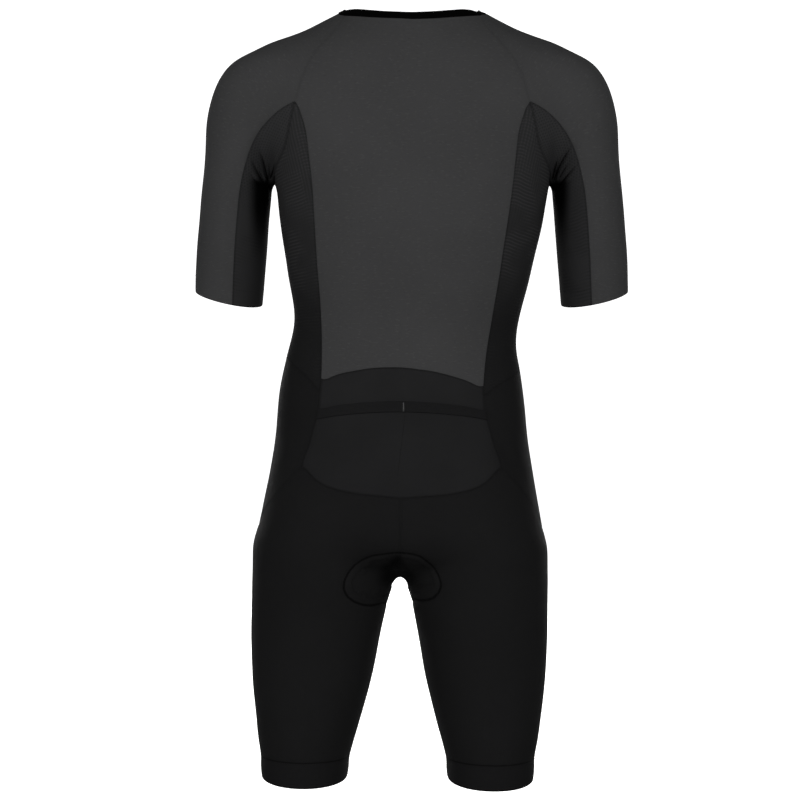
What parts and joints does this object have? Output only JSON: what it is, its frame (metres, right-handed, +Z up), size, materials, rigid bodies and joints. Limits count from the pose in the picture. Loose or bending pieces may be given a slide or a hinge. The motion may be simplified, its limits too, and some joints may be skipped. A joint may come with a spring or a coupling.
{
  "type": "triathlon suit",
  "caption": "Short-sleeved one-piece triathlon suit with knee shorts, raglan sleeves, ribbed side panels, a back pocket and a front zip, filled out as worn and hollow.",
  "frame": {"origin": "between the high points of the shoulders, where the wearer carries the suit", "axes": "+Z up, -Y the wearer's front, +X the wearer's left"},
  "size_m": [0.549, 0.25, 0.9631],
  "materials": {
    "grey_knit": "matte",
    "ribbed_mesh": "matte",
    "dimple_mesh": "matte",
    "black_lycra": "satin",
    "binding": "matte",
    "pad_foam": "matte",
    "zip_moulded": "satin"
  },
  "bodies": {
    "suit": {"back_panel": "grey_knit", "front_left": "grey_knit", "front_right": "grey_knit", "sleeve_left": "grey_knit", "sleeve_right": "grey_knit", "side_left": "ribbed_mesh", "side_right": "ribbed_mesh", "underarm_left": "dimple_mesh", "underarm_right": "dimple_mesh", "lumbar_panel": "ribbed_mesh", "back_pocket": "black_lycra", "pocket_band": "black_lycra", "front_waist": "black_lycra", "hip_left": "black_lycra", "hip_right": "black_lycra", "leg_left": "black_lycra", "leg_right": "black_lycra", "gripper_left": "black_lycra", "gripper_right": "black_lycra", "neck_binding": "binding", "seat_pad": "pad_foam", "zip_tape_left": "zip_moulded", "zip_tape_right": "zip_moulded", "zip_chain": "zip_moulded", "zip_slider": "zip_moulded"},
    "pull_tab": {"zip_pull": "zip_moulded"}
  },
  "joints": [
    {"name": "pull_tab_hinge", "type": "hinge", "parent": "suit", "child": "pull_tab", "pos_m": [0, -0.08909, -0.07256], "axis": [-1, 0, 0], "range_deg": [0, 150]}
  ]
}
